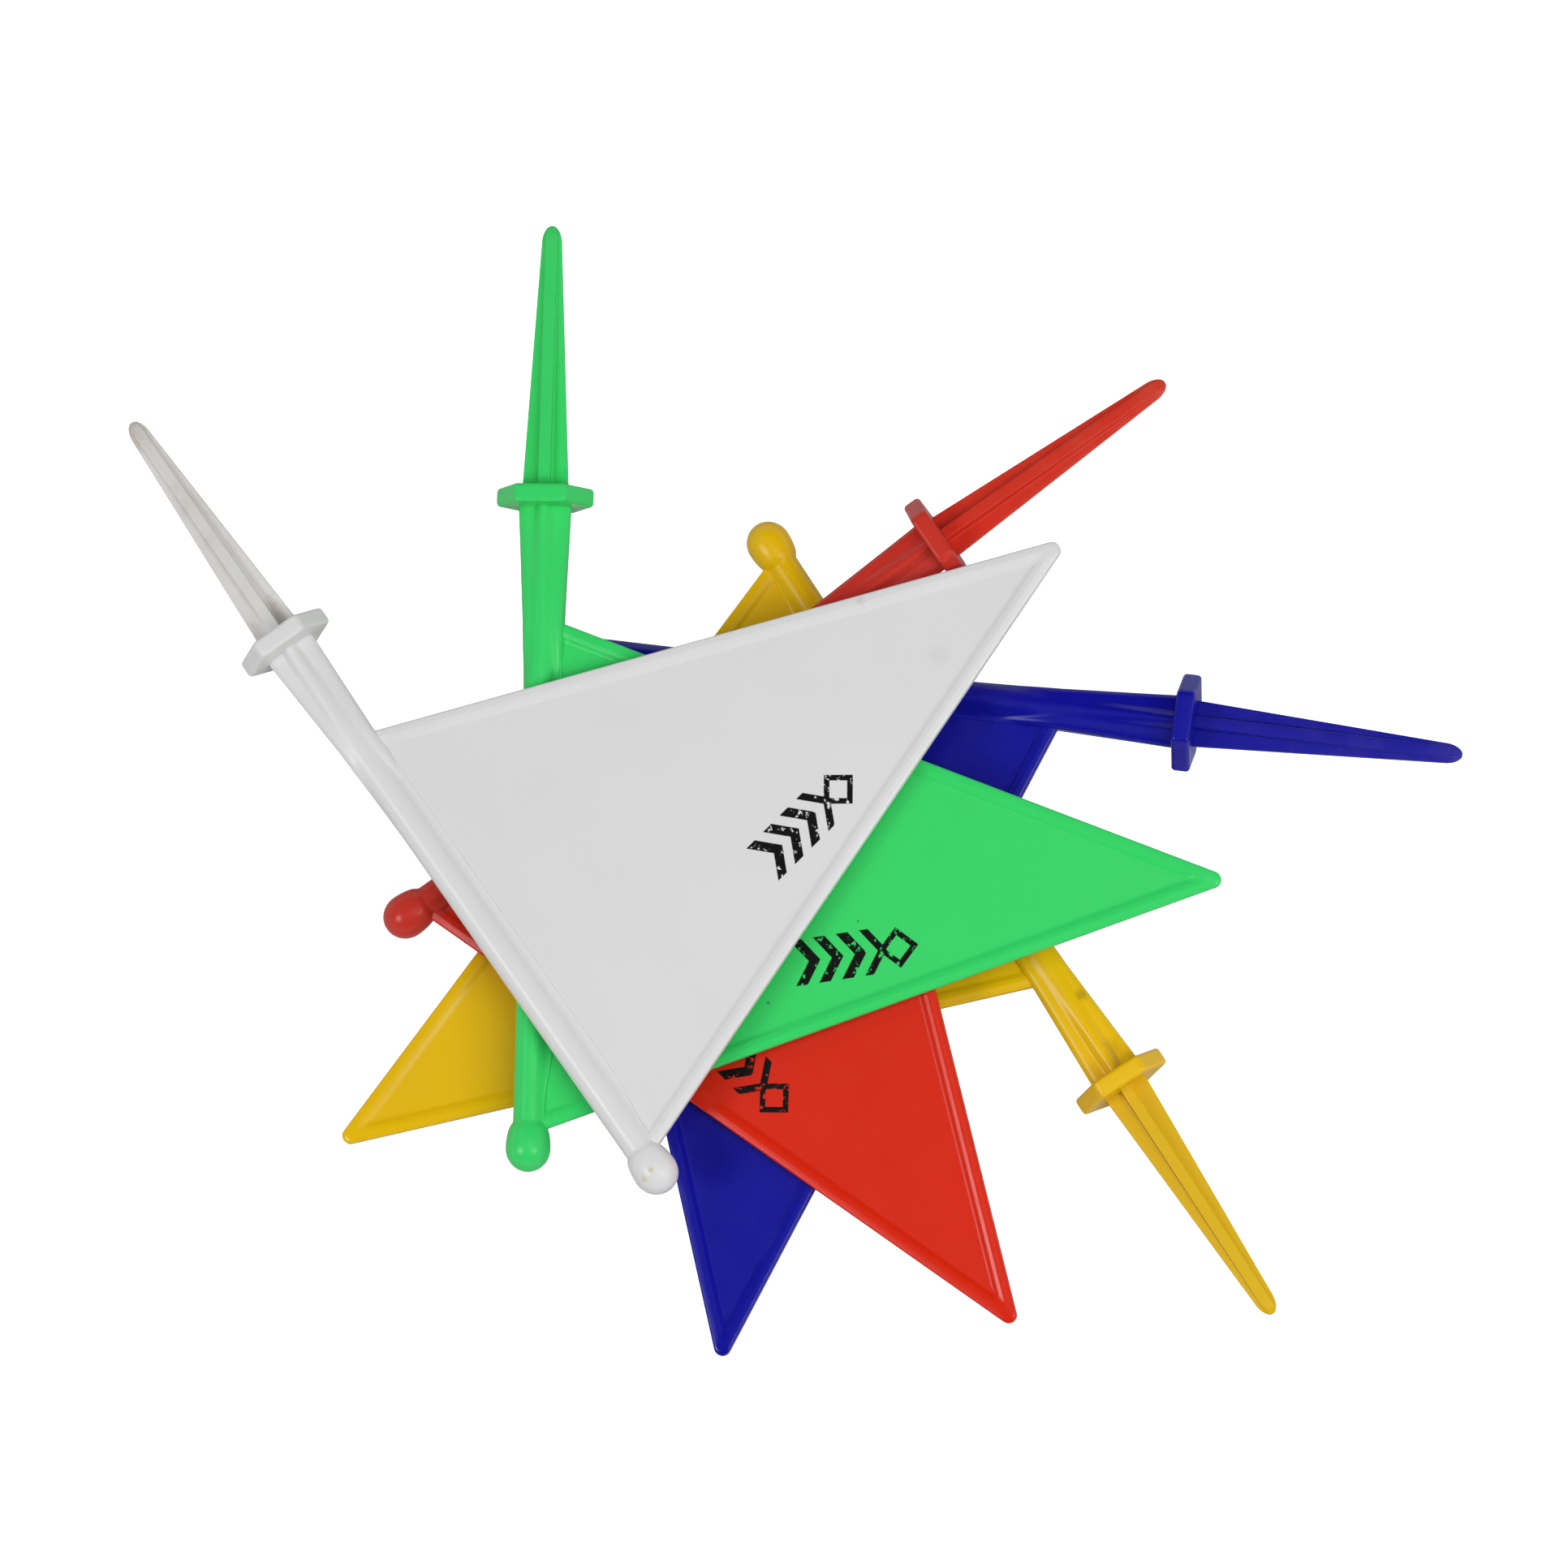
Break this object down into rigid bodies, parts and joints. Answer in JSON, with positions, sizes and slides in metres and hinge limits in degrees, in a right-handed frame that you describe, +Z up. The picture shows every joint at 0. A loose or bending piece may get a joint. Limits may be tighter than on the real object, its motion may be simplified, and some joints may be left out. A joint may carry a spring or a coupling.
{
  "type": "set of boundary marker flags",
  "caption": "Plastic ground-marker flags in different colours, each a spike, hexagonal collar, pole with ball end and triangular pennant, lying crossed in a fan.",
  "frame": {"origin": "on the ground under the middle of the fan's bounding box", "axes": "+Z up from the ground the flags lie on; +Y towards the end where the green flag's spike points; +X towards the blue flag's spike"},
  "size_m": [0.357, 0.303, 0.0428],
  "materials": {
    "yellow_plastic": "semi-gloss moulded yellow",
    "blue_plastic": "semi-gloss moulded blue",
    "red_plastic": "semi-gloss moulded red",
    "green_plastic": "semi-gloss moulded green",
    "white_plastic": "semi-gloss moulded white"
  },
  "bodies": {
    "yellow": {"yellow_flag": "yellow_plastic"},
    "blue": {"blue_flag": "blue_plastic"},
    "red": {"red_flag": "red_plastic"},
    "green": {"green_flag": "green_plastic"},
    "white": {"white_flag": "white_plastic"}
  },
  "joints": [
    {"name": "blue_lift", "type": "slide", "parent": "yellow", "child": "blue", "axis": [0, 0, 1], "range_m": [0, 0.06]},
    {"name": "red_lift", "type": "slide", "parent": "blue", "child": "red", "axis": [0, 0, 1], "range_m": [0, 0.06]},
    {"name": "green_lift", "type": "slide", "parent": "red", "child": "green", "axis": [0, 0, 1], "range_m": [0, 0.06]},
    {"name": "white_lift", "type": "slide", "parent": "green", "child": "white", "axis": [0, 0, 1], "range_m": [0, 0.06]}
  ]
}
